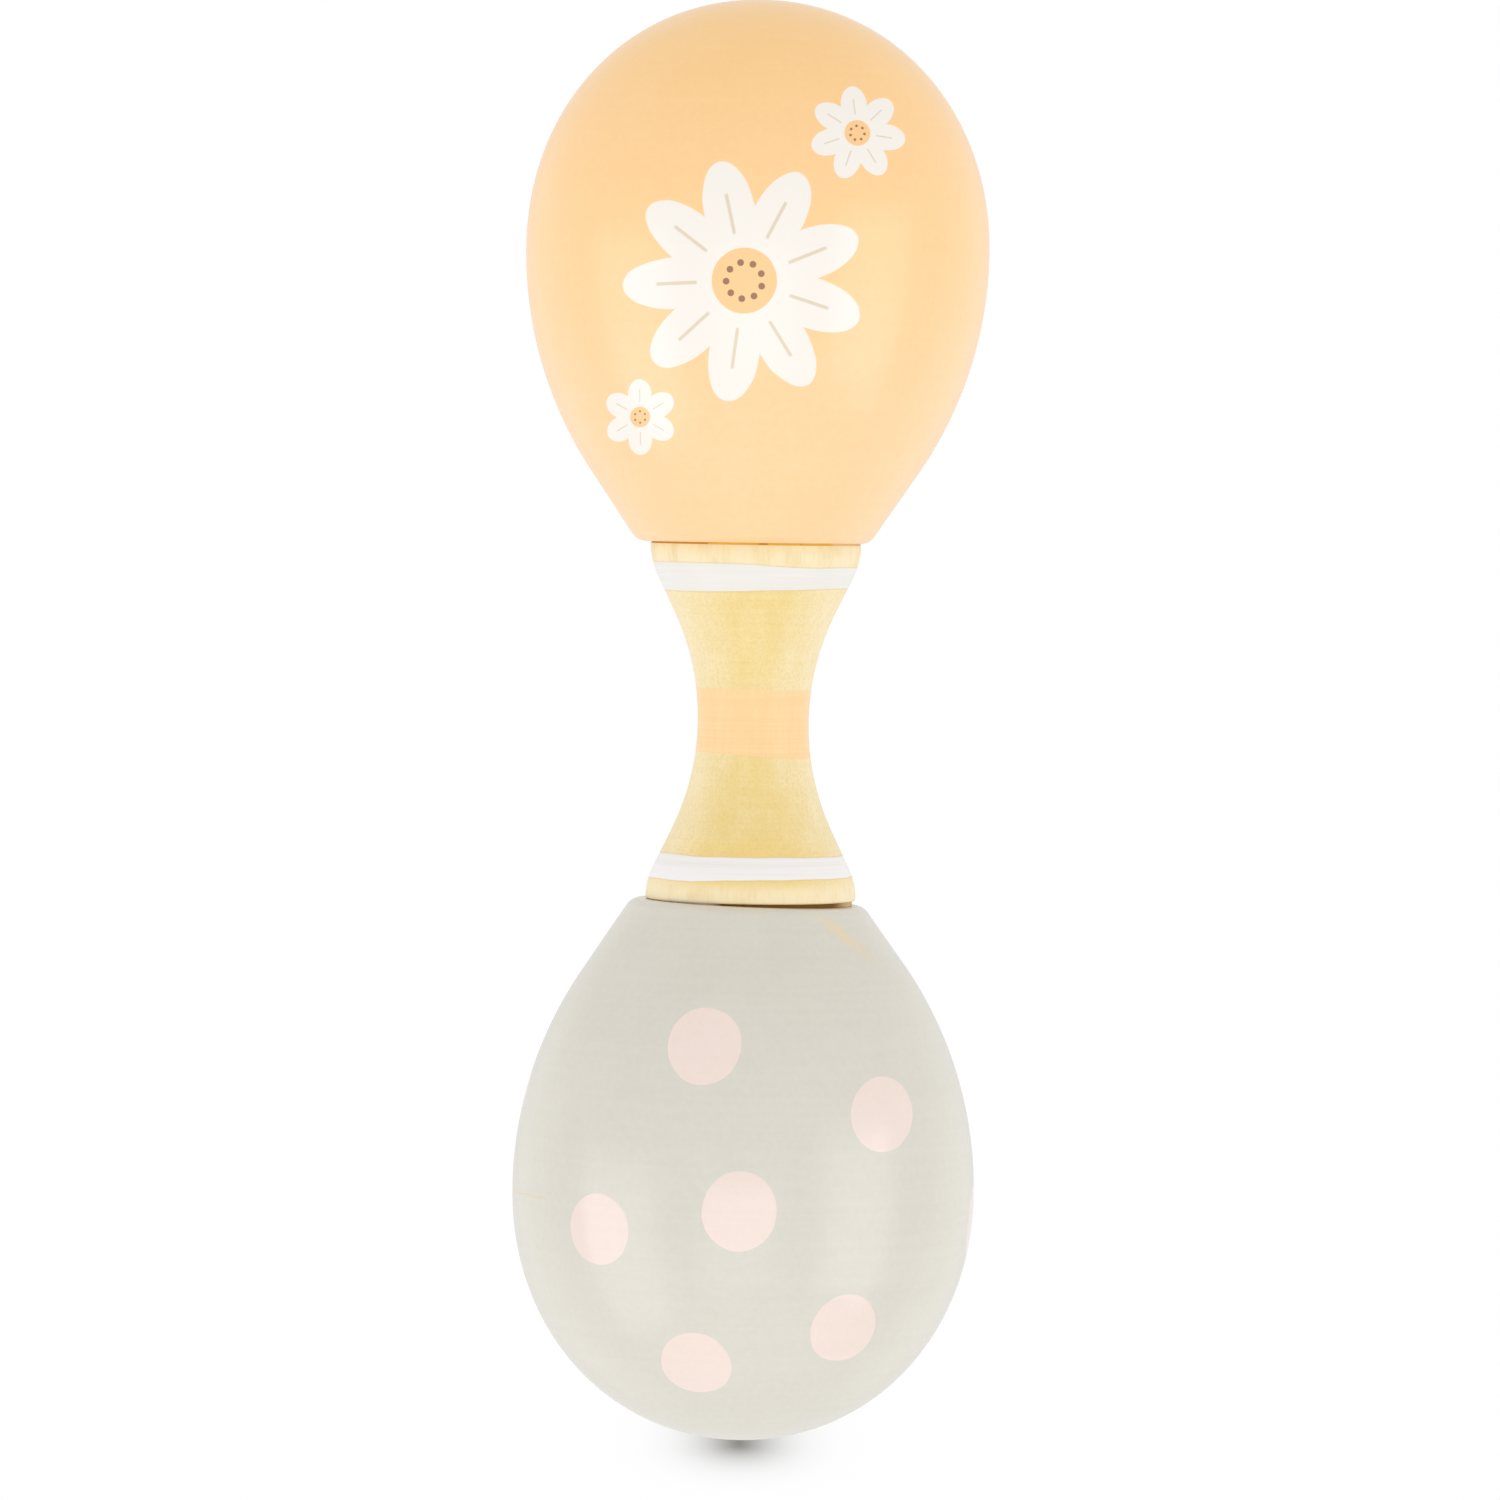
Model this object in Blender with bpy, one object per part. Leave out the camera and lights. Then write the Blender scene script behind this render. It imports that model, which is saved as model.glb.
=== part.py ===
"""A double-ended wooden baby maraca: two hollow turned heads on a waisted turned handle.

Each head is two turned cups, a crown and a neck, glued on a stepped lip at the widest circle.
The handle has a spigot turned on each end, glued into the bore of a neck cup, and its end closes
the hollow. Loose wooden beads in each head make the rattle. The long axis is Z, and the origin is
at the middle of the handle's waist, where the hand holds it.
"""

import math

import bmesh
import bpy

MM = 0.001

# Outside of a head, from the photograph
HEAD_RADIUS = 27.5 * MM
CROWN_HEIGHT = 29.4 * MM
CROWN_FULLNESS = 2.06  # 2 would be an ellipse, more is blunter
NECK_HEIGHT = 34.6 * MM
NECK_RADIUS = 13.8 * MM
NECK_CONE_HEIGHT = 8.3 * MM
NECK_EDGE_ROUND = 0.9 * MM

# Inside of a head
WALL = 4.5 * MM
CROWN_WALL = 4.6 * MM
FLOOR_THICKNESS = 9.5 * MM
LIP_HEIGHT = 2.5 * MM
LIP_THICKNESS = 2.1 * MM

# Handle
HANDLE_LENGTH = 42.0 * MM
WAIST_RADIUS = 6.6 * MM
END_RADIUS = 12.5 * MM
END_BAND = 1.9 * MM
FLARE_CONE_HEIGHT = 6.2 * MM
END_EDGE_ROUND = 0.5 * MM
SPIGOT_RADIUS = 8.0 * MM
SPIGOT_CHAMFER = 0.8 * MM

# Beads
BEAD_RADIUS = 4.0 * MM
RING_BEADS = 7
BEAD_SPACING = 0.4 * MM

# Clearances
GLUE_GAP = 0.3 * MM
BEAD_GAP = 0.3 * MM

# Facets
TURNED_SIDES = 40
CROWN_STEPS = 13
HOLLOW_STEPS = 9
FLANK_STEPS = 8
ROUND_STEPS = 3
FLARE_STEPS = 7
BEAD_SIDES = 12
BEAD_RINGS = 8
SEAT_SAMPLES = 24  # points tried along each stretch of the hollow when a bead is seated

# Sizes that follow from the ones above
HOLLOW_RADIUS = HEAD_RADIUS - WALL
BORE_RADIUS = SPIGOT_RADIUS + GLUE_GAP
SPIGOT_LENGTH = FLOOR_THICKNESS
NECK_FACE = HANDLE_LENGTH / 2 + GLUE_GAP
CROWN_RIM = NECK_HEIGHT + GLUE_GAP
CROWN_TIP = CROWN_RIM + CROWN_HEIGHT
HOLLOW_TOP = CROWN_TIP - CROWN_WALL
HOLLOW_CENTRE = HOLLOW_TOP - HOLLOW_RADIUS
SPIGOT_END = SPIGOT_LENGTH - GLUE_GAP

# Colours as linear light
PEACH = (0.955, 0.640, 0.330)
GREY = (0.690, 0.660, 0.580)
PALE_WOOD = (0.870, 0.680, 0.370)
BEAD_WOOD = (0.780, 0.600, 0.360)


def arc_and_cone(height, spread, cone_height):
    """Radius and angle of an arc that turns into a straight cone and together spread so far."""
    arc_height = height - cone_height
    low, high = 0.0, math.pi / 2
    for _ in range(60):
        angle = (low + high) / 2
        reached = arc_height * math.tan(angle / 2) + cone_height * math.tan(angle)
        low, high = (angle, high) if reached < spread else (low, angle)
    return arc_height / math.sin(angle), angle


def rounded(before, corner, after, radius, steps=ROUND_STEPS):
    """Points of the arc that rounds a corner of an outline."""
    to_before = [b - c for b, c in zip(before, corner)]
    to_after = [a - c for a, c in zip(after, corner)]
    first, last = math.atan2(*to_before[::-1]), math.atan2(*to_after[::-1])
    turn = math.remainder(last - first, math.tau)
    middle = first + turn / 2
    half = abs(turn) / 2
    reach = radius / math.sin(half)
    centre = (corner[0] + reach * math.cos(middle), corner[1] + reach * math.sin(middle))
    sweep = math.copysign(math.pi - abs(turn), -turn)
    start = middle + math.pi - sweep / 2
    return [
        (
            centre[0] + radius * math.cos(start + sweep * i / steps),
            centre[1] + radius * math.sin(start + sweep * i / steps),
        )
        for i in range(steps + 1)
    ]


def even(first, last, steps):
    return [first + (last - first) * i / steps for i in range(steps + 1)]


FLANK_ARC, FLANK_ANGLE = arc_and_cone(NECK_HEIGHT, HEAD_RADIUS - NECK_RADIUS, NECK_CONE_HEIGHT)


def flank_radius(height, inset):
    """Radius of the neck cup's side, or of its inside at that inset, at a height over the neck face."""
    arc = FLANK_ARC - inset
    depth = NECK_HEIGHT - height
    arc_depth = arc * math.sin(FLANK_ANGLE)
    if depth < arc_depth:
        return HEAD_RADIUS - inset - arc + math.sqrt(arc**2 - depth**2)
    cone_depth = depth - arc_depth
    return HEAD_RADIUS - inset - arc * (1 - math.cos(FLANK_ANGLE)) - cone_depth * math.tan(FLANK_ANGLE)


def neck_hollow():
    """Inside of the neck cup, from the bore's edge over the floor and up the side."""
    side = [(flank_radius(z, WALL), z) for z in even(FLOOR_THICKNESS, NECK_HEIGHT, FLANK_STEPS)]
    return [(BORE_RADIUS, FLOOR_THICKNESS), *side]


def crown_hollow():
    """Inside of the crown cup, from the step over the lip to the axis: a ball-nosed hollow."""
    step = CROWN_RIM + LIP_HEIGHT
    rise = max(step - HOLLOW_CENTRE, 0.0)
    angles = even(math.asin(rise / HOLLOW_RADIUS), math.pi / 2, HOLLOW_STEPS)
    dome = [
        (HOLLOW_RADIUS * math.cos(a), HOLLOW_CENTRE + HOLLOW_RADIUS * math.sin(a)) for a in angles
    ]
    dome[-1] = (0.0, HOLLOW_TOP)
    straight = [(HOLLOW_RADIUS, step)] if step < HOLLOW_CENTRE else []
    return straight + dome


def crown_cup_outline():
    angles = even(0.0, math.pi / 2, CROWN_STEPS)
    power = 2 / CROWN_FULLNESS
    outside = [
        (
            HEAD_RADIUS * max(math.cos(a), 0.0) ** power,
            CROWN_RIM + CROWN_HEIGHT * math.sin(a) ** power,
        )
        for a in reversed(angles)
    ]
    outside[0] = (0.0, CROWN_TIP)
    rebate = HOLLOW_RADIUS + LIP_THICKNESS + GLUE_GAP
    step = [(rebate, CROWN_RIM), (rebate, CROWN_RIM + LIP_HEIGHT)]
    return outside + step + crown_hollow()


def neck_cup_outline():
    """Closed outline: down the outside, across the neck face, up the bore, and up the inside."""
    arc_bottom = NECK_HEIGHT - FLANK_ARC * math.sin(FLANK_ANGLE)
    outside = [(flank_radius(z, 0.0), z) for z in even(NECK_HEIGHT, arc_bottom, FLANK_STEPS)]
    edge = rounded(outside[-1], (NECK_RADIUS, 0.0), (BORE_RADIUS, 0.0), NECK_EDGE_ROUND)
    lip_top = NECK_HEIGHT + LIP_HEIGHT
    lip_side = HOLLOW_RADIUS + LIP_THICKNESS
    lip = [(HOLLOW_RADIUS, lip_top), (lip_side, lip_top), (lip_side, NECK_HEIGHT)]
    return [*outside, *edge, (BORE_RADIUS, 0.0), *neck_hollow(), *lip]


def handle_half_outline():
    """From the tip of the upper spigot down to the waist."""
    shoulder = HANDLE_LENGTH / 2
    tip = shoulder + SPIGOT_LENGTH
    flare_top = shoulder - END_BAND
    arc, angle = arc_and_cone(flare_top, END_RADIUS - WAIST_RADIUS, FLARE_CONE_HEIGHT)
    spigot = [
        (0.0, tip),
        (SPIGOT_RADIUS - SPIGOT_CHAMFER, tip),
        (SPIGOT_RADIUS, tip - SPIGOT_CHAMFER),
        (SPIGOT_RADIUS, shoulder),
    ]
    band = (END_RADIUS, flare_top)
    edge = rounded(spigot[-1], (END_RADIUS, shoulder), band, END_EDGE_ROUND)
    flare = [
        (WAIST_RADIUS + arc * (1 - math.cos(a)), arc * math.sin(a)) for a in even(angle, 0.0, FLARE_STEPS)
    ]
    return [*spigot, *edge, band, *flare]


def handle_outline():
    upper = handle_half_outline()
    lower = [(r, -z) for r, z in reversed(upper[:-1])]
    return upper + lower


def ball_heights(distance, reach):
    """Lowest and highest height of a ball's centre in the hollow, so far from the axis."""
    spigot = [(0.0, SPIGOT_END), (SPIGOT_RADIUS, SPIGOT_END)]
    outline = [*spigot, *neck_hollow(), *crown_hollow()]
    lowest, highest = -math.inf, math.inf
    for (r0, z0), (r1, z1) in zip(outline, outline[1:]):
        for share in even(0.0, 1.0, SEAT_SAMPLES):
            aside = r0 + (r1 - r0) * share - distance
            height = z0 + (z1 - z0) * share
            if abs(aside) > reach:
                continue
            clear = math.sqrt(reach**2 - aside**2)
            if height < NECK_HEIGHT:
                lowest = max(lowest, height + clear)
            else:
                highest = min(highest, height - clear)
    return lowest, highest


def bead_places():
    """Where the beads stand round the axis: one in the middle and a ring about it."""
    ring = (BEAD_RADIUS + BEAD_SPACING / 2) / math.sin(math.pi / RING_BEADS)
    around = [math.tau * i / RING_BEADS for i in range(RING_BEADS)]
    return [(0.0, 0.0)] + [(ring, a) for a in around]


def material(name, colour, roughness):
    made = bpy.data.materials.new(name)
    made.use_nodes = True
    shader = made.node_tree.nodes["Principled BSDF"]
    shader.inputs["Base Color"].default_value = (*colour, 1.0)
    shader.inputs["Roughness"].default_value = roughness
    shader.inputs["Metallic"].default_value = 0.0
    return made


def add_object(name, shape, finish, parent=None):
    """An object from a finished bmesh, shaded smooth with its turned edges kept sharp."""
    mesh = bpy.data.meshes.new(name)
    bmesh.ops.recalc_face_normals(shape, faces=shape.faces)
    shape.to_mesh(mesh)
    shape.free()
    mesh.shade_smooth()
    mesh.set_sharp_from_angle(angle=math.radians(30))
    mesh.materials.append(finish)
    made = bpy.data.objects.new(name, mesh)
    made.parent = parent
    bpy.context.scene.collection.objects.link(made)
    return made


def turned(name, outline, finish, parent=None, closed=False):
    """A solid turned from its outline: radius and height, from axis to axis or a closed loop."""
    shape = bmesh.new()
    points = [shape.verts.new((r, 0.0, z)) for r, z in outline]
    ends = zip(points, points[1:] + points[:1]) if closed else zip(points, points[1:])
    edges = [shape.edges.new(pair) for pair in ends]
    bmesh.ops.spin(
        shape,
        geom=points + edges,
        cent=(0, 0, 0),
        axis=(0, 0, 1),
        angle=math.tau,
        steps=TURNED_SIDES,
        use_merge=True,
    )
    bmesh.ops.remove_doubles(shape, verts=shape.verts, dist=0.001 * MM)
    return add_object(name, shape, finish, parent)


def add_head(colour_name, finish, bead_finish, up):
    """One head, crown away from the handle, with its beads lying on the lower side of its hollow."""
    base = bpy.data.objects.new(f"{colour_name}_head", None)
    base.location = (0, 0, up * NECK_FACE)
    base.rotation_euler = (0 if up > 0 else math.pi, 0, 0)
    bpy.context.scene.collection.objects.link(base)
    turned(f"{colour_name}_crown_cup", crown_cup_outline(), finish, base)
    turned(f"{colour_name}_neck_cup", neck_cup_outline(), finish, base, closed=True)
    for number, (distance, angle) in enumerate(bead_places(), start=1):
        heights = ball_heights(distance, BEAD_RADIUS + BEAD_GAP)
        shape = bmesh.new()
        bmesh.ops.create_uvsphere(
            shape, u_segments=BEAD_SIDES, v_segments=BEAD_RINGS, radius=BEAD_RADIUS
        )
        bead = add_object(f"{colour_name}_bead_{number}", shape, bead_finish, base)
        resting = heights[0] if up > 0 else heights[1]
        bead.location = (distance * math.cos(angle), distance * math.sin(angle), resting)
        print(f"{bead.name} travels {(heights[1] - heights[0]) / MM:.2f} mm")


def build():
    for old in list(bpy.data.objects):
        bpy.data.objects.remove(old)
    bead_finish = material("bead_wood", BEAD_WOOD, 0.6)
    turned("handle", handle_outline(), material("handle_wood", PALE_WOOD, 0.55))
    add_head("peach", material("peach_paint", PEACH, 0.45), bead_finish, up=1)
    add_head("grey", material("grey_paint", GREY, 0.45), bead_finish, up=-1)


build()
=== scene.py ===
"""Looks of the wooden baby maraca: painted heads, striped handle, loose beads and a white light tent."""

import math

import bmesh
import bpy
from mathutils import Matrix, Quaternion, Vector


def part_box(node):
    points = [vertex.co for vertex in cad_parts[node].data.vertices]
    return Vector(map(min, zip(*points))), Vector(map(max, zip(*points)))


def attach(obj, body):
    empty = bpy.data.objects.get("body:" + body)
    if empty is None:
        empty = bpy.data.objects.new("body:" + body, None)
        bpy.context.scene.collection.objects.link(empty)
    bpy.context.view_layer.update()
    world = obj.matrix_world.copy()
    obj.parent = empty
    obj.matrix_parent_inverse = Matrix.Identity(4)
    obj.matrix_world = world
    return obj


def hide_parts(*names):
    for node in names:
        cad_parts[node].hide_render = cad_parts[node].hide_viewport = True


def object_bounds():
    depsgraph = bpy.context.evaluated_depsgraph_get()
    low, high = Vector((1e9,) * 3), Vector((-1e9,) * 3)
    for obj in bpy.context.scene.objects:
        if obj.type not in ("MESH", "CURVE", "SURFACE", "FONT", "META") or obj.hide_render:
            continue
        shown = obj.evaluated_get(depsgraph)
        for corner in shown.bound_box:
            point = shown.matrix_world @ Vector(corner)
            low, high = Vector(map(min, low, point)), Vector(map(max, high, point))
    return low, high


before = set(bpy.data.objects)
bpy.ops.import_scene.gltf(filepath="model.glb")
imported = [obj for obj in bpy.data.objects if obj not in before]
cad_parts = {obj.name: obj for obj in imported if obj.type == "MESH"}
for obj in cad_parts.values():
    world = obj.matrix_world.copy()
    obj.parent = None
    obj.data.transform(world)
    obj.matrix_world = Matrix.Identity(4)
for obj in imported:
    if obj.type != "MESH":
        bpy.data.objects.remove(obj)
cad_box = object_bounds()

MM = 0.001
TINY = 1e-6

# Turned sizes, as in the solids
HEAD_RADIUS = 27.5 * MM
CROWN_HEIGHT = 29.4 * MM
CROWN_FULLNESS = 2.06
NECK_HEIGHT = 34.6 * MM
NECK_RADIUS = 13.8 * MM
NECK_CONE_HEIGHT = 8.3 * MM
NECK_EDGE_ROUND = 0.9 * MM
WALL = 4.5 * MM
CROWN_WALL = 4.6 * MM
FLOOR_THICKNESS = 9.5 * MM
LIP_HEIGHT = 2.5 * MM
LIP_THICKNESS = 2.1 * MM
HANDLE_LENGTH = 42.0 * MM
WAIST_RADIUS = 6.6 * MM
END_RADIUS = 12.5 * MM
END_BAND = 1.9 * MM
FLARE_CONE_HEIGHT = 6.2 * MM
SPIGOT_RADIUS = 8.0 * MM
SPIGOT_CHAMFER = 0.8 * MM
GLUE_GAP = 0.3 * MM

# Finer shapes that only the finished pieces have
SEAM_GAP = 0.002 * MM  # what is left of the glue gap where paint has filled the seam between the cups
BAND_CORNER_ROUND = 1.6 * MM
TOP_EDGE_ROUND = 0.05 * MM
LOW_EDGE_ROUND = 0.25 * MM
TOP_GLUE_LINE = 0.2 * MM
LOW_GLUE_LINE = 0.15 * MM
TOP_GLUE_DEPTH = 0.08 * MM  # how far the squeezed-out glue stays back from the handle's side
LOW_GLUE_DEPTH = 0.4 * MM
GLUE_CLEAR = 0.02 * MM
JOINT_SLOPE = 0.024  # the grey cup's face isn't quite square, so its joint gapes on one side
JOINT_DROP = 0.15 * MM  # and lies that much lower in the middle
JOINT_DEPTH = 8.0 * MM  # how far down the cup it is out of square
HANDLE_ASIDE = 0.33 * MM  # how far to the right of the heads' axis the handle is glued

SHOULDER = HANDLE_LENGTH / 2
HOLLOW_RADIUS = HEAD_RADIUS - WALL
BORE_RADIUS = SPIGOT_RADIUS + GLUE_GAP
NECK_FACE = SHOULDER + GLUE_GAP
TOP_SHOULDER = NECK_FACE - TOP_GLUE_LINE
LOW_SHOULDER = NECK_FACE - LOW_GLUE_LINE
EQUATOR = NECK_FACE + NECK_HEIGHT
CROWN_TIP = EQUATOR + GLUE_GAP + CROWN_HEIGHT
HOLLOW_FLOOR = NECK_FACE + FLOOR_THICKNESS
HOLLOW_TOP = CROWN_TIP - CROWN_WALL
HOLLOW_CENTRE = HOLLOW_TOP - HOLLOW_RADIUS

# How finely the pieces are turned
TURNED_SIDES = 160
CROWN_STEPS = 48
HOLLOW_STEPS = 24
FLANK_STEPS = 40
FLARE_STEPS = 48
ROUND_SEGMENTS = 4
BEAD_SIDES = 32
BEAD_RINGS = 20
SHARP_ANGLE = math.radians(32)  # an edge that turns by more than this isn't shaded smooth
SEARCH_STEPS = 60


# Turned pieces


def even(first, last, steps):
    return [first + (last - first) * i / steps for i in range(steps + 1)]


def arc_and_cone(height, spread, cone_height):
    """Radius and angle of an arc that turns into a straight cone and together spread so far."""
    arc_height = height - cone_height
    low, high = 0.0, math.pi / 2
    for _ in range(SEARCH_STEPS):
        angle = (low + high) / 2
        reached = arc_height * math.tan(angle / 2) + cone_height * math.tan(angle)
        low, high = (angle, high) if reached < spread else (low, angle)
    return arc_height / math.sin(angle), angle


FLANK_ARC, FLANK_ANGLE = arc_and_cone(NECK_HEIGHT, HEAD_RADIUS - NECK_RADIUS, NECK_CONE_HEIGHT)


def flank_radius(height, inset=0.0):
    """Radius of a neck cup's side, or of its inside at that inset, at a height over the origin."""
    arc = FLANK_ARC - inset
    depth = EQUATOR - height
    arc_depth = arc * math.sin(FLANK_ANGLE)
    if depth < arc_depth:
        return HEAD_RADIUS - inset - arc + math.sqrt(arc**2 - depth**2)
    cone_depth = depth - arc_depth
    return HEAD_RADIUS - inset - arc * (1 - math.cos(FLANK_ANGLE)) - cone_depth * math.tan(FLANK_ANGLE)


def crown_point(angle):
    """A point of the crown's outside, from the widest circle at angle 0 to the tip."""
    power = 2 / CROWN_FULLNESS
    base = EQUATOR + SEAM_GAP
    across = max(math.cos(angle), 0.0) ** power
    up = math.sin(angle) ** power
    return HEAD_RADIUS * across, base + (CROWN_TIP - base) * up


def head_radius(height):
    """Radius of a head's outside at a height over the origin."""
    if height < EQUATOR:
        return flank_radius(height)
    up = (height - EQUATOR) / (CROWN_TIP - EQUATOR)
    return HEAD_RADIUS * (1 - up**CROWN_FULLNESS) ** (1 / CROWN_FULLNESS)


def crown_outline():
    outside = [crown_point(a) for a in even(math.pi / 2, 0.0, CROWN_STEPS)]
    outside[0] = (0.0, CROWN_TIP)
    rebate = HOLLOW_RADIUS + LIP_THICKNESS + GLUE_GAP
    step = EQUATOR + GLUE_GAP + LIP_HEIGHT
    rise = step - HOLLOW_CENTRE
    angles = even(math.asin(rise / HOLLOW_RADIUS), math.pi / 2, HOLLOW_STEPS)
    dome = [(HOLLOW_RADIUS * math.cos(a), HOLLOW_CENTRE + HOLLOW_RADIUS * math.sin(a)) for a in angles]
    dome[-1] = (0.0, HOLLOW_TOP)
    return [*outside, (rebate, EQUATOR + SEAM_GAP), (rebate, step), *dome]


def neck_outline():
    outside = [(flank_radius(z), z) for z in even(EQUATOR, NECK_FACE, FLANK_STEPS)]
    inside = [(flank_radius(z, WALL), z) for z in even(HOLLOW_FLOOR, EQUATOR, HOLLOW_STEPS)]
    lip_top = EQUATOR + LIP_HEIGHT
    lip_side = HOLLOW_RADIUS + LIP_THICKNESS
    bore = [(BORE_RADIUS, NECK_FACE), (BORE_RADIUS, HOLLOW_FLOOR)]
    lip = [(HOLLOW_RADIUS, lip_top), (lip_side, lip_top), (lip_side, EQUATOR)]
    return [*outside, *bore, *inside, *lip]


def handle_half_outline(shoulder, glue_depth):
    """From the spigot's tip over the glue in the joint and the plain end band down to the waist."""
    tip = SHOULDER + FLOOR_THICKNESS
    glue_top = NECK_FACE - GLUE_CLEAR
    glue_side = END_RADIUS - glue_depth
    flare_top = SHOULDER - END_BAND
    arc, angle = arc_and_cone(flare_top, END_RADIUS - WAIST_RADIUS, FLARE_CONE_HEIGHT)
    angles = even(angle, 0.0, FLARE_STEPS)
    flare = [(WAIST_RADIUS + arc * (1 - math.cos(a)), arc * math.sin(a)) for a in angles]
    return [
        (0.0, tip),
        (SPIGOT_RADIUS - SPIGOT_CHAMFER, tip),
        (SPIGOT_RADIUS, tip - SPIGOT_CHAMFER),
        (SPIGOT_RADIUS, glue_top),
        (glue_side, glue_top),
        (glue_side, shoulder),
        (END_RADIUS, shoulder),
        (END_RADIUS, flare_top),
        *flare,
    ]


def handle_outline():
    lower = handle_half_outline(LOW_SHOULDER, LOW_GLUE_DEPTH)[:-1]
    return handle_half_outline(TOP_SHOULDER, TOP_GLUE_DEPTH) + [(r, -z) for r, z in reversed(lower)]


def turn(outline, closed=False):
    """Spins an outline of radius and height round the long axis."""
    shape = bmesh.new()
    points = [shape.verts.new((r, 0.0, z)) for r, z in outline]
    ends = zip(points, points[1:] + points[:1]) if closed else zip(points, points[1:])
    edges = [shape.edges.new(pair) for pair in ends]
    bmesh.ops.spin(
        shape,
        geom=points + edges,
        cent=(0, 0, 0),
        axis=(0, 0, 1),
        angle=math.tau,
        steps=TURNED_SIDES,
        use_merge=True,
    )
    bmesh.ops.remove_doubles(shape, verts=shape.verts, dist=TINY)
    bmesh.ops.recalc_face_normals(shape, faces=shape.faces)
    return shape


def round_circle(shape, radius, height, amount):
    """Rounds off the turned edge that runs round the piece at that radius and height."""

    def on_circle(vert):
        return abs(vert.co.z - height) < TINY and abs(vert.co.xy.length - radius) < TINY

    edges = [e for e in shape.edges if all(on_circle(v) for v in e.verts)]
    bmesh.ops.bevel(
        shape,
        geom=edges,
        offset=amount,
        offset_type="OFFSET",
        segments=ROUND_SEGMENTS,
        profile=0.5,
        affect="EDGES",
        clamp_overlap=True,
        material=-1,
    )


def place_piece(name, shape, finish, body, slot, *nodes):
    """Makes the finished piece and lets it stand for its solid."""
    mesh = bpy.data.meshes.new(name)
    shape.to_mesh(mesh)
    shape.free()
    mesh.shade_smooth()
    mesh.set_sharp_from_angle(angle=SHARP_ANGLE)
    mesh.materials.append(finish)
    piece = bpy.data.objects.new(name, mesh)
    bpy.context.scene.collection.objects.link(piece)
    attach(piece, body)
    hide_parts(*nodes)


def turn_over(shape):
    """Puts a piece of the upper head where the lower head has it."""
    bmesh.ops.rotate(shape, verts=shape.verts, cent=(0, 0, 0), matrix=Matrix.Rotation(math.pi, 3, "X"))


def tilt_joint(verts, clear):
    """Sets the face of the lower joint out of square, so that it gapes on the right."""
    for vert in verts:
        share = 1 + (vert.co.z + NECK_FACE) / JOINT_DEPTH
        lowered = vert.co.z - (JOINT_DROP + JOINT_SLOPE * vert.co.x) * min(max(share, 0.0), 1.0)
        vert.co.z = min(lowered, -LOW_SHOULDER - clear)


def add_head(colour, finish, lower):
    crown = turn(crown_outline())
    neck = turn(neck_outline(), closed=True)
    round_circle(neck, flank_radius(NECK_FACE), NECK_FACE, NECK_EDGE_ROUND)
    if lower:
        turn_over(crown)
        turn_over(neck)
        tilt_joint(neck.verts, 2 * GLUE_CLEAR)
    slot = f"{colour}_paint"
    place_piece(f"{colour}_painted_crown", crown, finish, "maraca_body", slot, f"{colour}_crown_cup")
    place_piece(f"{colour}_painted_neck", neck, finish, "maraca_body", slot, f"{colour}_neck_cup")


def add_handle(finish):
    shape = turn(handle_outline())
    round_circle(shape, END_RADIUS, TOP_SHOULDER, TOP_EDGE_ROUND)
    round_circle(shape, END_RADIUS, -LOW_SHOULDER, LOW_EDGE_ROUND)
    for side in (1, -1):
        round_circle(shape, END_RADIUS, side * (SHOULDER - END_BAND), BAND_CORNER_ROUND)
    for vert in shape.verts:
        in_bore = abs(vert.co.z) >= SHOULDER and vert.co.xy.length <= SPIGOT_RADIUS + TINY
        if not in_bore:
            vert.co.x += HANDLE_ASIDE
    glue_face = GLUE_CLEAR - NECK_FACE
    tilt_joint([v for v in shape.verts if abs(v.co.z - glue_face) < TINY], GLUE_CLEAR)
    place_piece("striped_handle", shape, finish, "maraca_body", "handle_wood", "handle")


def add_beads(finish):
    """A smooth turned ball for each loose bead."""
    for node in sorted(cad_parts):
        if "bead" not in node:
            continue
        low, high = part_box(node)
        shape = bmesh.new()
        bmesh.ops.create_uvsphere(
            shape, u_segments=BEAD_SIDES, v_segments=BEAD_RINGS, radius=(high.z - low.z) / 2
        )
        bmesh.ops.translate(shape, verts=shape.verts, vec=(low + high) / 2)
        place_piece(f"turned_{node}", shape, finish, node, "bead_wood", node)


# Shader nodes


class Amount:
    """A number that changes over a surface. Sums and products of it become math nodes."""

    def __init__(self, nodes, socket):
        self.nodes = nodes
        self.socket = socket

    def __add__(self, other):
        return self.nodes.math("ADD", self, other)

    def __sub__(self, other):
        return self.nodes.math("SUBTRACT", self, other)

    def __rsub__(self, other):
        return self.nodes.math("SUBTRACT", other, self)

    def __mul__(self, other):
        return self.nodes.math("MULTIPLY", self, other)

    def __truediv__(self, other):
        return self.nodes.math("DIVIDE", self, other)

    def __rtruediv__(self, other):
        return self.nodes.math("DIVIDE", other, self)

    def __abs__(self):
        return self.nodes.math("ABSOLUTE", self)

    __radd__ = __add__
    __rmul__ = __mul__


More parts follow.
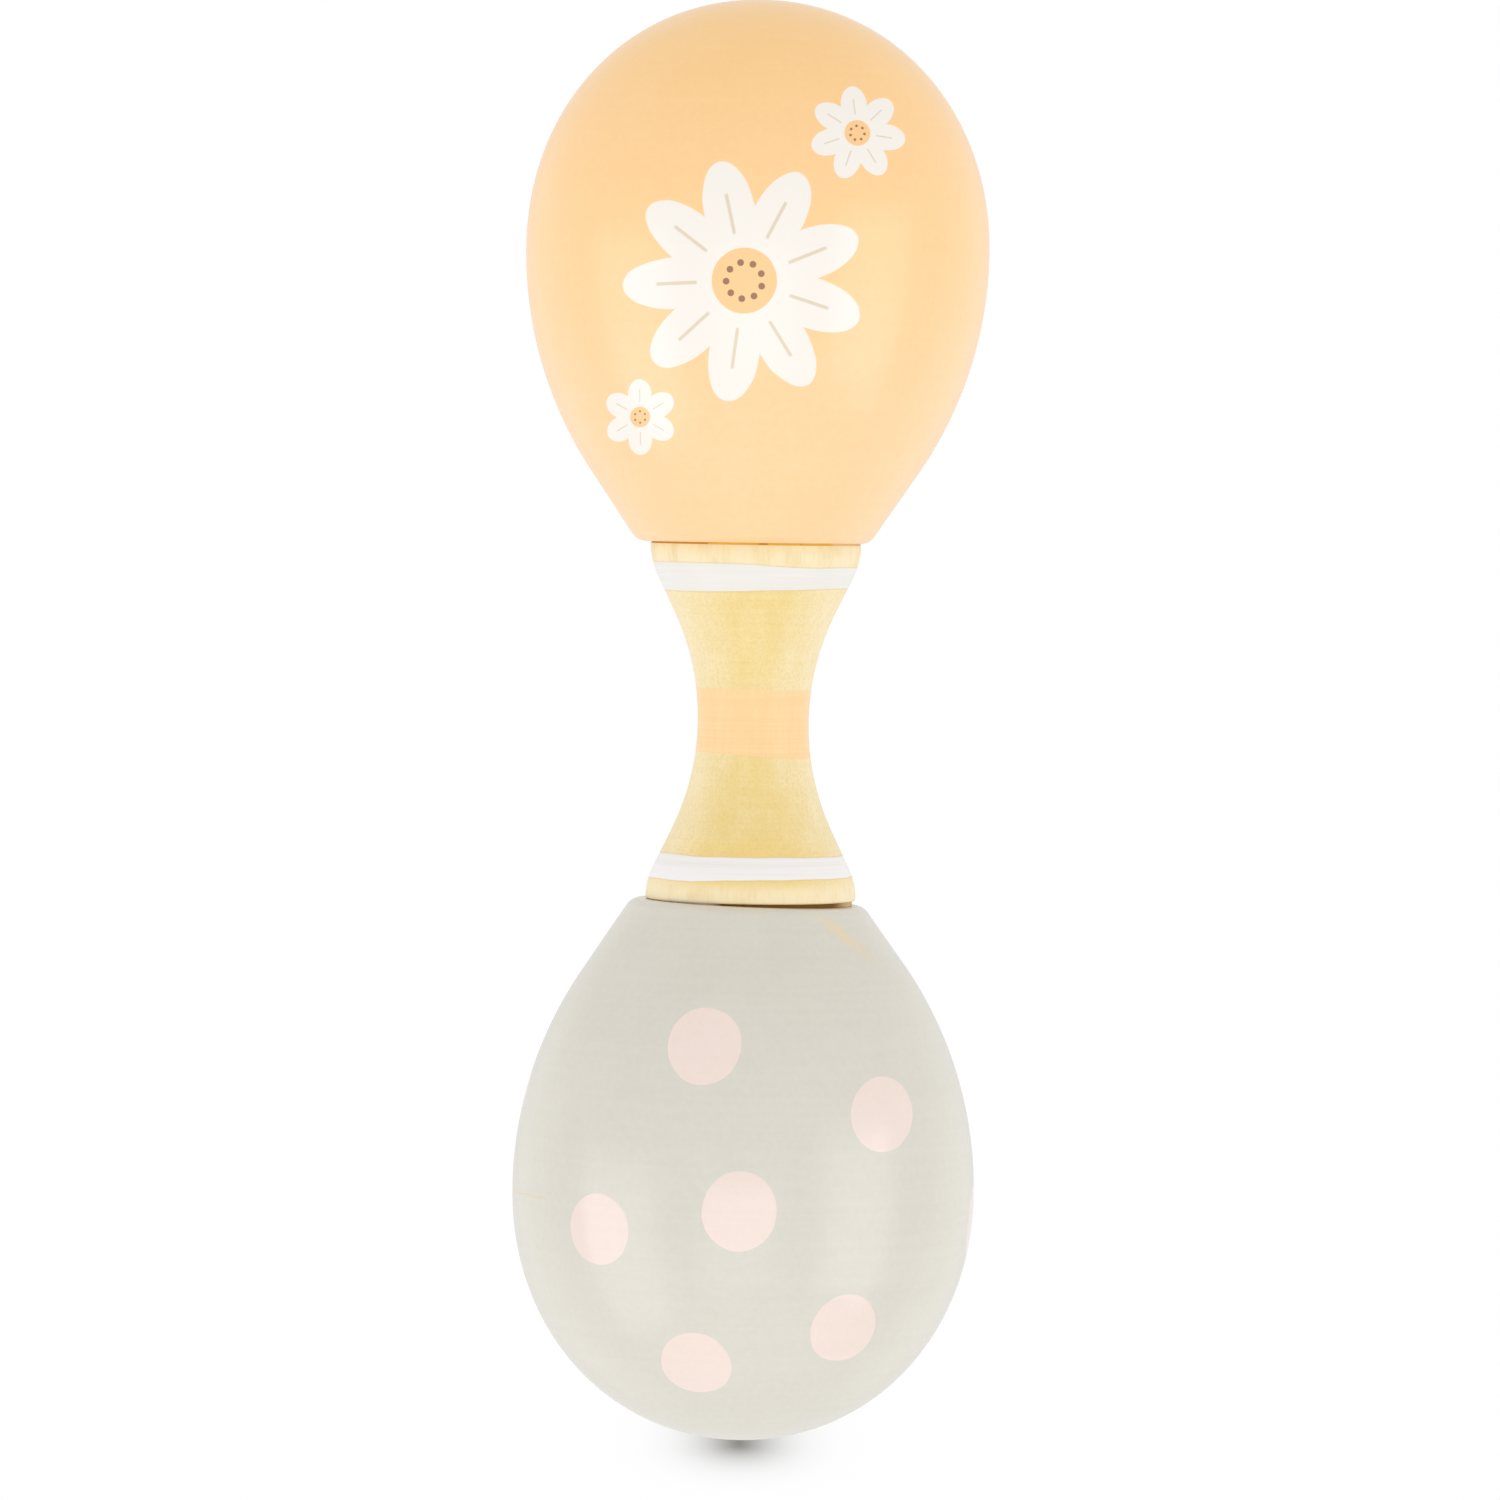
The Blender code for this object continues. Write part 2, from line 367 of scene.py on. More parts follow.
class Nodes:
    """Adds nodes to one tree, and gives back what the new node puts out."""

    def __init__(self, tree):
        self.tree = tree

    def add(self, kind, **settings):
        node = self.tree.nodes.new(kind)
        for name, value in settings.items():
            setattr(node, name, value)
        return node

    def feed(self, socket, value):
        if isinstance(value, Amount):
            value = value.socket
        if isinstance(value, bpy.types.NodeSocket):
            self.tree.links.new(value, socket)
        else:
            socket.default_value = value

    def math(self, operation, *values):
        node = self.add("ShaderNodeMath", operation=operation)
        for socket, value in zip(node.inputs, values):
            self.feed(socket, value)
        return Amount(self, node.outputs[0])

    def where(self):
        """Where a point of the surface lies in the object."""
        return self.add("ShaderNodeTexCoord").outputs["Object"]

    def split(self, vector):
        node = self.add("ShaderNodeSeparateXYZ")
        self.feed(node.inputs[0], vector)
        return [Amount(self, socket) for socket in node.outputs]

    def vector(self, x, y, z):
        node = self.add("ShaderNodeCombineXYZ")
        for socket, value in zip(node.inputs, (x, y, z)):
            self.feed(socket, value)
        return node.outputs[0]

    def stretch(self, where, x, y, z):
        node = self.add("ShaderNodeVectorMath", operation="MULTIPLY")
        self.feed(node.inputs[0], where)
        self.feed(node.inputs[1], (x, y, z))
        return node.outputs[0]

    def noise(self, where, scale, detail=2.0, roughness=0.5):
        node = self.add("ShaderNodeTexNoise")
        self.feed(node.inputs["Vector"], where)
        self.feed(node.inputs["Scale"], scale)
        self.feed(node.inputs["Detail"], detail)
        self.feed(node.inputs["Roughness"], roughness)
        return Amount(self, node.outputs["Fac"])

    def stray(self, where, fineness, size, detail=2.0):
        """A wandering to either side of nought that spans about that size."""
        return (self.noise(where, fineness, detail) - 0.5) * size

    def blend(self, share, first, second):
        """That share of the first value and the rest of the second."""
        return first * share + second * (1 - share)

    def ease(self, value, low, high):
        """0 at low, 1 at high, and a smooth change between. Low may be the larger."""
        node = self.add("ShaderNodeMapRange", interpolation_type="SMOOTHSTEP")
        self.feed(node.inputs["Value"], value)
        self.feed(node.inputs["From Min"], low)
        self.feed(node.inputs["From Max"], high)
        return Amount(self, node.outputs[0])

    def between(self, value, low, high, soft):
        """1 from low to high and 0 outside, with soft edges."""
        return self.ease(value, low - soft, low + soft) * self.ease(value, high + soft, high - soft)

    def span(self, value, low, high):
        """Spreads a value of 0 to 1 over that range."""
        node = self.add("ShaderNodeMapRange")
        self.feed(node.inputs["Value"], value)
        self.feed(node.inputs["To Min"], low)
        self.feed(node.inputs["To Max"], high)
        return Amount(self, node.outputs[0])

    def mix(self, share, first, second):
        """One colour over another. The colour sockets come after those for numbers and vectors."""
        node = self.add("ShaderNodeMix", data_type="RGBA")
        self.feed(node.inputs["Factor"], share)
        self.feed(node.inputs[6], first)
        self.feed(node.inputs[7], second)
        return node.outputs[2]

    def most(self, masks):
        """The largest of several masks at each point."""
        largest = masks[0]
        for mask in masks[1:]:
            largest = self.math("MAXIMUM", largest, mask)
        return largest

    def use(self, group, **values):
        """Places a group. An input's label has spaces where the keyword has underscores."""
        node = self.add("ShaderNodeGroup", node_tree=group)
        for label, value in values.items():
            self.feed(node.inputs[label.replace("_", " ")], value)
        made = [Amount(self, socket) for socket in node.outputs]
        return made[0] if len(made) == 1 else made

    def bump(self, height, distance):
        node = self.add("ShaderNodeBump")
        self.feed(node.inputs["Height"], height)
        self.feed(node.inputs["Distance"], distance)
        return node.outputs[0]


def new_group(name, inputs, outputs):
    """An empty shader group with these sockets: its nodes, what comes in, and what goes out."""
    tree = bpy.data.node_groups.new(name, "ShaderNodeTree")
    for label in inputs:
        kind = "NodeSocketVector" if label == "Centre" else "NodeSocketFloat"
        tree.interface.new_socket(name=label, in_out="INPUT", socket_type=kind)
    for label in outputs:
        tree.interface.new_socket(name=label, in_out="OUTPUT", socket_type="NodeSocketFloat")
    nodes = Nodes(tree)
    sockets = nodes.add("NodeGroupInput").outputs
    given = {s.name: s if s.name == "Centre" else Amount(nodes, s) for s in sockets if s.name}
    return nodes, given, nodes.add("NodeGroupOutput").inputs


def srgb(*channels):
    """A colour as a screen shows it, as linear light."""
    shares = [c / 255 for c in channels]
    return (*(((s + 0.055) / 1.055) ** 2.4 for s in shares), 1.0)


# Effects that the paints share


def brush_lines_group():
    """Fine lines that the brush leaves in wet paint while the piece turns on the lathe."""
    nodes, given, made = new_group("brush_lines", ["Fineness"], ["Lines"])
    drift = 26.0  # how much a line changes on its way round, far less than from one line to the next
    broad_fineness = 0.23  # broad bands, against the fine lines
    fine_share = 0.65
    x, y, z = nodes.split(nodes.where())
    where = nodes.vector(x * drift, y * drift, z * given["Fineness"])
    fine = nodes.noise(where, 1.0, detail=3.0, roughness=0.6)
    broad = nodes.noise(where, broad_fineness, detail=1.0)
    nodes.feed(made["Lines"], nodes.blend(fine_share, fine, broad))
    return nodes.tree


def mottle_group():
    """The slight unevenness of a sprayed coat: small flecks over broad soft patches."""
    nodes, given, made = new_group("mottle", ["Fleck Size"], ["Mottle"])
    patch_fineness = 0.12  # broad patches, against the flecks
    fleck_share = 0.6
    where = nodes.where()
    flecks = nodes.noise(where, 1.0 / given["Fleck Size"], detail=2.0, roughness=0.6)
    patches = nodes.noise(where, patch_fineness / given["Fleck Size"], detail=2.0)
    nodes.feed(made["Mottle"], nodes.blend(fleck_share, flecks, patches))
    return nodes.tree


def specks_group():
    """Sparse specks of dust and tiny chips in the paint."""
    nodes, given, made = new_group("specks", ["Spacing", "Share"], ["Mask"])
    smallest = 0.02  # radius of a speck, as a share of the spacing
    largest = 0.05
    core = 0.6  # share of the radius inside which a speck is at its darkest
    cells = nodes.add("ShaderNodeTexVoronoi")
    nodes.feed(cells.inputs["Vector"], nodes.where())
    nodes.feed(cells.inputs["Scale"], 1.0 / given["Spacing"])
    chance, size, _ = nodes.split(cells.outputs["Color"])
    chosen = nodes.math("LESS_THAN", chance, given["Share"])
    reach = nodes.span(size, smallest, largest)
    near = nodes.ease(Amount(nodes, cells.outputs["Distance"]), reach, reach * core)
    nodes.feed(made["Mask"], chosen * near)
    return nodes.tree


def dot_group():
    """One painted dot about a point of the surface, so wide, so tall and turned so far from upright."""
    inputs = ["Centre", "Half Width", "Half Height", "Lean"]
    nodes, given, made = new_group("painted_dot", inputs, ["Mask"])
    wobble_fineness = 160.0  # how the brush strays from the dot's outline
    wobble_size = 0.1
    soft = 0.013
    where = nodes.where()
    x, y, z = nodes.split(where)
    centre_x, centre_y, centre_z = nodes.split(given["Centre"])
    radius = nodes.math("SQRT", x * x + y * y)
    centre_radius = nodes.math("SQRT", centre_x * centre_x + centre_y * centre_y)
    turned = nodes.math("ARCTAN2", y * centre_x - x * centre_y, x * centre_x + y * centre_y)
    aside = turned * radius
    rise = z - centre_z
    outward = radius - centre_radius
    up = nodes.math("SQRT", rise * rise + outward * outward) * nodes.math("SIGN", rise)
    upright = nodes.math("COSINE", given["Lean"])
    leaning = nodes.math("SINE", given["Lean"])
    across = (aside * upright + up * leaning) / given["Half Width"]
    tall = (up * upright - aside * leaning) / given["Half Height"]
    wobble = nodes.stray(where, wobble_fineness, wobble_size)
    reach = nodes.math("SQRT", across * across + tall * tall) + wobble
    nodes.feed(made["Mask"], nodes.ease(reach, 1 + soft, 1 - soft))
    return nodes.tree


def petals_group():
    """A ring of rounded petals printed flat on the front: masks for petals, veins, eye and seeds."""
    inputs = ["Centre X", "Centre Z", "Count", "Turn", "Reach"]
    nodes, given, made = new_group("petals", inputs, ["Petals", "Veins", "Eye", "Seeds"])
    # Sizes as shares of the reach, and a petal's width also shared out among the petals
    petal_middle = 0.6
    petal_half_length = 0.4
    petal_half_width = 1.9
    vein_half_width = 0.014
    eye_size = 0.27
    seed_ring = 0.15
    seed_size = 0.028
    # Along a petal, which runs from -1 to 1
    vein_from = -0.52
    vein_to = 0.32
    vein_soft = 0.03
    petal_soft = 0.02
    wave_fineness = 220.0  # how the outlines stray
    wave_size = 0.12
    eye_wave = 0.12
    soft = 0.05 * MM
    where = nodes.where()
    x, y, z = nodes.split(where)
    dx = x - given["Centre X"]
    dz = z - given["Centre Z"]
    out = nodes.math("SQRT", dx * dx + dz * dz)
    pitch = math.tau / given["Count"]
    turns = (nodes.math("ARCTAN2", dz, dx) + given["Turn"]) / pitch
    off = (turns - nodes.math("ROUND", turns)) * pitch
    along = out * nodes.math("COSINE", off)
    aside = out * nodes.math("SINE", off)
    reach = given["Reach"]
    run = (along - reach * petal_middle) / (reach * petal_half_length)
    side = aside / (reach * petal_half_width / given["Count"])
    wave = nodes.stray(where, wave_fineness, wave_size)
    shape = nodes.math("SQRT", run * run + side * side) + wave
    front = nodes.math("LESS_THAN", y, 0.0)
    vein = reach * vein_half_width
    thin = nodes.ease(abs(aside), vein + soft, vein - soft)
    eye = reach * eye_size + wave * reach * eye_wave
    seed_along = along - reach * seed_ring
    seed_out = nodes.math("SQRT", seed_along * seed_along + aside * aside)
    seed = reach * seed_size
    nodes.feed(made["Petals"], nodes.ease(shape, 1 + petal_soft, 1 - petal_soft) * front)
    nodes.feed(made["Veins"], thin * nodes.between(run, vein_from, vein_to, vein_soft) * front)
    nodes.feed(made["Eye"], nodes.ease(out, eye + soft, eye - soft) * front)
    nodes.feed(made["Seeds"], nodes.ease(seed_out, seed + soft, seed - soft) * front)
    return nodes.tree


def new_material(name):
    finish = bpy.data.materials.new(name)
    finish.use_nodes = True
    return finish, Nodes(finish.node_tree), finish.node_tree.nodes["Principled BSDF"].inputs


PAINT_GLOSS = 1.0
PAINT_ROUGHNESS = (0.22, 0.28)
PAINT_RELIEF = 0.012 * MM

# Peach head

PEACH = srgb(252, 207, 145)
PEACH_DEEP = srgb(245, 180, 100)
# Tones of the peach paint: a painted shade on the crown and a painted light down the neck
PEACH_SHADED_CROWN = srgb(252, 204, 129)
PEACH_LIT_NECK = srgb(252, 212, 165)
CREAM = srgb(243, 237, 229)
PRINT_ORANGE = srgb(251, 200, 136)
PRINT_BROWN = srgb(150, 98, 64)
PRINT_BEIGE = srgb(224, 209, 184)
DUST_BROWN = srgb(150, 122, 90)

CROWN_SHADE = (66.0 * MM, 86.0 * MM)  # heights between which the paint turns to the crown's deeper tone, a painted shade on the top of the head
CROWN_SHADE_SHARE = 0.8
NECK_LIGHT = (60.0 * MM, 34.0 * MM)  # and, further down, to the neck's paler tone, a painted light on the lower flank
NECK_LIGHT_SHARE = 0.55
PEACH_MOTTLE_PART = 0.7  # how much of the unevenness is mottle, and the rest brush lines
PEACH_CONTRAST = (0.65, 0.35)  # where the deeper tone begins to show, and where it shows fully
PEACH_UNEVENNESS = 0.12
PEACH_SPECKS = 0.5  # how far a speck hides the paint
PEACH_LINE_HEIGHT = 0.2  # heights as shares of the paint's relief
PEACH_MOTTLE_HEIGHT = 0.3
PRINT_HEIGHT = 0.6
PRINT_TEXTURE = 0.5  # how much of the paint's texture is left on the print

FLOWERS = [
    dict(Centre_X=-1.5 * MM, Centre_Z=51.6 * MM, Count=9, Turn=0.3, Reach=14.0 * MM),
    dict(Centre_X=11.3 * MM, Centre_Z=69.0 * MM, Count=7, Turn=0.1, Reach=5.6 * MM),
    dict(Centre_X=-13.4 * MM, Centre_Z=35.8 * MM, Count=6, Turn=0.5, Reach=4.4 * MM),
]


def peach_paint(groups):
    finish, nodes, shader = new_material("peach_satin_paint")
    lines = nodes.use(groups["brush_lines"], Fineness=1900.0)
    mottle = nodes.use(groups["mottle"], Fleck_Size=0.9 * MM)
    specks = nodes.use(groups["specks"], Spacing=6.5 * MM, Share=0.12)
    height = nodes.split(nodes.where())[2]
    # A painted shade deepens the crown, and a painted light pales the neck
    colour = nodes.mix(nodes.ease(height, *CROWN_SHADE) * CROWN_SHADE_SHARE, PEACH, PEACH_SHADED_CROWN)
    colour = nodes.mix(nodes.ease(height, *NECK_LIGHT) * NECK_LIGHT_SHARE, colour, PEACH_LIT_NECK)
    unevenness = nodes.ease(nodes.blend(PEACH_MOTTLE_PART, mottle, lines), *PEACH_CONTRAST)
    colour = nodes.mix(unevenness * PEACH_UNEVENNESS, colour, PEACH_DEEP)
    colour = nodes.mix(specks * PEACH_SPECKS, colour, DUST_BROWN)
    printed = 0.0
    for flower in FLOWERS:
        petals, veins, eye, seeds = nodes.use(groups["petals"], **flower)
        colour = nodes.mix(petals, colour, CREAM)
        colour = nodes.mix(veins, colour, PRINT_BEIGE)
        colour = nodes.mix(eye, colour, PRINT_ORANGE)
        colour = nodes.mix(seeds, colour, PRINT_BROWN)
        printed = nodes.math("MAXIMUM", petals, eye) + printed
    nodes.feed(shader["Base Color"], colour)
    nodes.feed(shader["Roughness"], nodes.span(lines, *PAINT_ROUGHNESS))
    nodes.feed(shader["Specular IOR Level"], PAINT_GLOSS)
    texture = lines * PEACH_LINE_HEIGHT + mottle * PEACH_MOTTLE_HEIGHT
    relief = texture * nodes.span(printed, 1.0, PRINT_TEXTURE) + printed * PRINT_HEIGHT
    nodes.feed(shader["Normal"], nodes.bump(relief, PAINT_RELIEF))
    return finish


# Grey head

GREY = srgb(214, 210, 198)
GREY_DEEP = srgb(210, 206, 194)
DOT_PINK = srgb(237, 219, 209)
DOT_PINK_DEEP = srgb(235, 216, 206)
SMEAR_TAN = srgb(228, 208, 164)
SEAM_TAN = srgb(224, 200, 158)
SPECK_BROWN = srgb(120, 108, 92)

# One group of dots, none quite round: degrees round from the front, height, half width and half height
# in millimetres, and by how many degrees the dot leans
DOT_GROUP = [
    (-11.8, -37.0, 4.4, 4.8, 5),
    (38.4, -44.9, 4.9, 4.25, 32),
    (-0.8, -55.9, 4.35, 4.65, -13),
    (-38.0, -58.8, 4.4, 4.2, 24),
    (29.5, -70.0, 4.25, 4.75, 36),
    (-13.8, -74.5, 4.2, 4.7, -16),
]
DOT_TURNS = (0.0, 124.0, 227.0)  # the group again, so many degrees further round
DOT_HEIGHT = 0.8  # heights as shares of the paint's relief
GREY_LINE_HEIGHT = 0.25
GREY_MOTTLE_HEIGHT = 0.3
DOT_TEXTURE = 0.4  # how much of the paint's texture is left on a dot
DOT_SHINE = 0.13  # how much less rough a dot is
GREY_MOTTLE_PART = 0.6  # how much of the unevenness is mottle, and the rest brush lines
GREY_CONTRAST = (0.37, 0.63)  # where the paler tone begins to show, and where it shows fully
GREY_SPECKS = 0.6  # how far a speck hides the paint

# A smear of glue under the joint: from and to, across and up
SMEAR_FROM = Vector((7.9 * MM, -22.2 * MM))
SMEAR_TO = Vector((16.8 * MM, -28.7 * MM))
SMEAR_WIDTH = 0.75 * MM
SMEAR_CORE = 0.1 * MM
SMEAR_FINENESS = 300.0
SMEAR_STRAY = 2.0 * MM  # how far its edges wander
# Along the smear, as shares of its length
SMEAR_ENDS = (0.1, 0.85)
SMEAR_END_SOFT = 0.3
SMEAR_END_STRAY = 0.4
SMEAR_THINS = (0.35, 0.65)
SMEAR_STRENGTH = (0.65, 0.32)  # before it thins and after

# The seam between the cups, which shows through the paint at the left
SEAM_SHOWS_FROM = -22.2 * MM
SEAM_FADE = 2.4 * MM
SEAM_FADE_BEHIND = 4.0 * MM
SEAM_WIDTH = 0.2 * MM
SEAM_CORE = 0.03 * MM
SEAM_FINENESS = 500.0
SEAM_STRAY = 0.3 * MM
SEAM_STRENGTH = 0.85


def painted_dots():
    """Place and size of each dot: one group, repeated round the grey head."""
    dots = []
    for turned in DOT_TURNS:
        for degrees, height, half_width, half_height, lean in DOT_GROUP:
            angle = math.radians(degrees + turned)
            radius = head_radius(-height * MM)
            dots.append(
                dict(
                    Centre=Vector((radius * math.sin(angle), -radius * math.cos(angle), height * MM)),
                    Half_Width=half_width * MM,
                    Half_Height=half_height * MM,
                    Lean=math.radians(lean),
                )
            )
    return dots


def glue_smear(nodes, where, x, y, z):
    """Mask of the glue that was wiped down the front of the head."""
    way = SMEAR_TO - SMEAR_FROM
    ahead = way.normalized()
    dx = x - SMEAR_FROM.x
    dz = z - SMEAR_FROM.y
    along = (dx * ahead.x + dz * ahead.y) / way.length
    aside = abs(dz * ahead.x - dx * ahead.y + nodes.stray(where, SMEAR_FINENESS, SMEAR_STRAY))
    ragged = along + nodes.stray(where, SMEAR_FINENESS, SMEAR_END_STRAY)
    across = nodes.ease(aside, SMEAR_WIDTH, SMEAR_CORE)
    lengthwise = nodes.between(ragged, *SMEAR_ENDS, SMEAR_END_SOFT)
    strength = nodes.span(nodes.ease(along, *SMEAR_THINS), *SMEAR_STRENGTH)
    on_front = nodes.math("LESS_THAN", y, 0.0)
    return across * lengthwise * strength * on_front


def shown_seam(nodes, where, x, y, z):
    """Mask of the stretch of seam that shows through the paint."""
    stray = nodes.stray(where, SEAM_FINENESS, SEAM_STRAY)
    near = nodes.ease(abs(z + stray + EQUATOR), SEAM_WIDTH, SEAM_CORE)
    at_left = nodes.ease(x, SEAM_SHOWS_FROM, SEAM_SHOWS_FROM - SEAM_FADE)
    on_front = nodes.ease(y, SEAM_FADE_BEHIND, 0.0)
    return near * (at_left * on_front)


def grey_paint(groups):
    finish, nodes, shader = new_material("grey_satin_paint")
    where = nodes.where()
    x, y, z = nodes.split(where)
    lines = nodes.use(groups["brush_lines"], Fineness=1700.0)
    mottle = nodes.use(groups["mottle"], Fleck_Size=0.8 * MM)
    specks = nodes.use(groups["specks"], Spacing=6.0 * MM, Share=0.2)
    unevenness = nodes.ease(nodes.blend(GREY_MOTTLE_PART, mottle, lines), *GREY_CONTRAST)
    colour = nodes.mix(unevenness, GREY_DEEP, GREY)
    colour = nodes.mix(glue_smear(nodes, where, x, y, z), colour, SMEAR_TAN)
    colour = nodes.mix(shown_seam(nodes, where, x, y, z) * SEAM_STRENGTH, colour, SEAM_TAN)
    dots = nodes.most([nodes.use(groups["dot"], **dot) for dot in painted_dots()])
    colour = nodes.mix(dots, colour, nodes.mix(unevenness, DOT_PINK_DEEP, DOT_PINK))
    colour = nodes.mix(specks * GREY_SPECKS, colour, SPECK_BROWN)
    nodes.feed(shader["Base Color"], colour)
    nodes.feed(shader["Roughness"], nodes.span(lines, *PAINT_ROUGHNESS) - dots * DOT_SHINE)
    nodes.feed(shader["Specular IOR Level"], PAINT_GLOSS)
    texture = lines * GREY_LINE_HEIGHT + mottle * GREY_MOTTLE_HEIGHT
    relief = texture * nodes.span(dots, 1.0, DOT_TEXTURE) + dots * DOT_HEIGHT
    nodes.feed(shader["Normal"], nodes.bump(relief, PAINT_RELIEF))
    return finish


# Handle

PALE_WOOD = srgb(240, 217, 156)
DEEP_WOOD = srgb(237, 210, 137)
GOLDEN_WOOD = srgb(238, 203, 106)
# The wood's tones with a painted sheen, used towards the sides of the handle
PALE_WOOD_SHEEN = srgb(246, 230, 193)
DEEP_WOOD_SHEEN = srgb(243, 225, 180)
END_WOOD = srgb(245, 229, 192)
END_DEEP = srgb(241, 215, 152)
FIBRE_TAN = srgb(231, 201, 136)
PORE_TAN = srgb(221, 196, 130)
RIM_TAN = srgb(220, 194, 146)
STRIPE_WHITE = srgb(240, 237, 237)
STRIPE_GROOVE = srgb(231, 229, 222)
BAND_PEACH = srgb(252, 214, 159)
BAND_PEACH_DEEP = srgb(249, 207, 150)
GLUE_PALE = srgb(234, 180, 40)
GLUE_AMBER = srgb(204, 138, 10)
# Brown glue, darkened further as a painted shade of the gap where the lower joint gapes
GLUE_BROWN_GAP_SHADE = srgb(126, 80, 10)
GLUE_TAN = srgb(234, 204, 158)
PAINT_RUN = srgb(220, 210, 190)

# Marks in the wood: how many to the metre across the handle and along it
FLECKS = (4200.0, 3000.0)
FIBRES = (2000.0, 260.0)
CLOUDS = (420.0, 180.0)
LATHE_RINGS = (40.0, 2400.0)
MARK_ROUGHNESS = 0.65

# How much of a blend the first kind of mark makes up
CLOUDS_TO_RINGS = 0.7
FLECKS_TO_FIBRES = 0.8
FIBRES_TO_CLOUDS = 0.4

# Contrasts: where a tone begins to show, and where it shows fully
TONE_CONTRAST = (0.35, 0.65)
PORE_CONTRAST = (0.4, 0.64)
FIBRE_CONTRAST = (0.44, 0.68)
STROKE_CONTRAST = (0.36, 0.64)
WORN_CONTRAST = (0.42, 0.66)
STAIN_CONTRAST = (0.57, 0.63)

# How far one tone hides the one below it
GOLDEN_SHARE = 0.4
PORE_SHARE = 0.4
END_SHARE = 0.85
DEEP_TOP_SHARE = 0.35
FIBRE_SHARE = (0.05, 0.55)  # along the handle, and at its ends
RIM_SHARE = 0.45
RUN_SHARE = 0.7
TOP_FADE_SHARE = 0.8
LOW_FADE_SHARE = 0.75

# Where the wood changes its tone: shares of the radius, and heights
# The next values paint the wood paler towards the sides and in a streak by the waist, a painted sheen
SIDE_SHEEN = (0.3, 1.05)
SHEEN_STREAK = (0.32, 0.62)  # a painted sheen: a paler streak on either side of the waist
SHEEN_STREAK_SOFT = 0.15
SHEEN_STREAK_STRENGTH = (0.22, 0.5)  # on the left and on the right
SHEEN_STREAK_TURN = 2.0 * MM  # to either side of the middle, where the strength changes
SHEEN_STREAK_FADE_UP = (12.0 * MM, 7.5 * MM)
SHEEN_STREAK_FADE_DOWN = (-11.0 * MM, -4.0 * MM)
PALER_UPWARDS = 5.0  # per metre
GOLDEN_PART = (-13.0 * MM, -15.4 * MM)
UPPER_END = (17.8 * MM, 18.8 * MM)
LOWER_END = (-18.2 * MM, -20.0 * MM)
DEEP_TOP = (19.5 * MM, 20.9 * MM)

# Stripes: heights of their edges, and how far these slope
UPPER_WHITE = (15.75 * MM, 18.84 * MM)
LOWER_WHITE = (-18.4 * MM, -15.75 * MM)
MIDDLE_BAND = (-3.92 * MM, 3.98 * MM)
UPPER_SLOPE = 0.024
LOWER_SLOPE = 0.023
BAND_SLOPE = -0.055
UPPER_DIP = (-2.5 * MM, 5.0 * MM)  # from left to right, where the upper stripe's top edge dips
UPPER_DIP_DEPTH = 0.4 * MM
STRIPE_FINENESS = 120.0
STRIPE_STRAY = 0.45 * MM  # how far a stripe's edge wanders
STRIPE_SOFT = 0.05 * MM
RIM_WIDTH = 0.14 * MM  # a darker line in the wood along each white stripe's edges
THICK_PAINT = (-16.6 * MM, -17.3 * MM)
THICKER = 0.14
THIN_PAINT = (10.0 * MM, 14.0 * MM)
THINNER = 0.1
WORN = 0.6  # how far the band's paint lets the fibres show through
HANDLE_ROUGHNESS = (0.4, 0.55)
PAINT_SMOOTHER = 0.12
GLUE_ROUGHER = 0.4
HANDLE_RELIEF = 0.02 * MM
FLECK_HEIGHT = (0.5, 0.1)  # on bare wood, and under paint
STROKE_HEIGHT = (0.5, 1.3)  # in a groove of the brush, and on a ridge

# Paint that has run over the lower edge on the left: across, up from the edge, and on the front
RUN_ACROSS = (-10.0 * MM, -4.0 * MM)
RUN_SOFT = 0.8 * MM
RUN_TOP = 0.3 * MM
RUN_FULL = 0.1 * MM
RUN_FRONT = -1.0 * MM

# Glue that shows in the joints: where along them its colour changes, and where it ends
STAIN_FINENESS = 420.0
TOP_STAIN_MORE = 0.4
TOP_STAIN = (-4.5 * MM, -6.5 * MM)
TOP_FADE = (8.6 * MM, 9.4 * MM)
# Along the lower joint the glue turns dark brown where the joint gapes: glue with a painted shade of the
# gap
LOW_GAP_SHADE = (-5.5 * MM, -3.0 * MM)
LOW_FADE = (9.6 * MM, 11.8 * MM)
GLUE_EDGE = 0.01 * MM
LOW_GLUE_INSET = 0.05 * MM
LOW_GLUE_HEIGHT = 1.0 * MM


def wood_marks(nodes, where, fineness, roughness=0.5):
    """Marks that run along the grain."""
    across, along = fineness
    return nodes.noise(nodes.stretch(where, across, across, along), 1.0, detail=3.0, roughness=roughness)


def painted_side_sheen(nodes, x, z, radius):
    """How far the wood is painted paler, a painted sheen: more towards the sides, and in a streak by the
    waist.
    """
    turned_away = abs(x) / radius
    by_waist = nodes.ease(z, *SHEEN_STREAK_FADE_UP) * nodes.ease(z, *SHEEN_STREAK_FADE_DOWN)
    strength = nodes.span(nodes.ease(x, -SHEEN_STREAK_TURN, SHEEN_STREAK_TURN), *SHEEN_STREAK_STRENGTH)
    painted_streak = nodes.between(turned_away, *SHEEN_STREAK, SHEEN_STREAK_SOFT) * strength
    return nodes.ease(turned_away, *SIDE_SHEEN) + painted_streak * by_waist


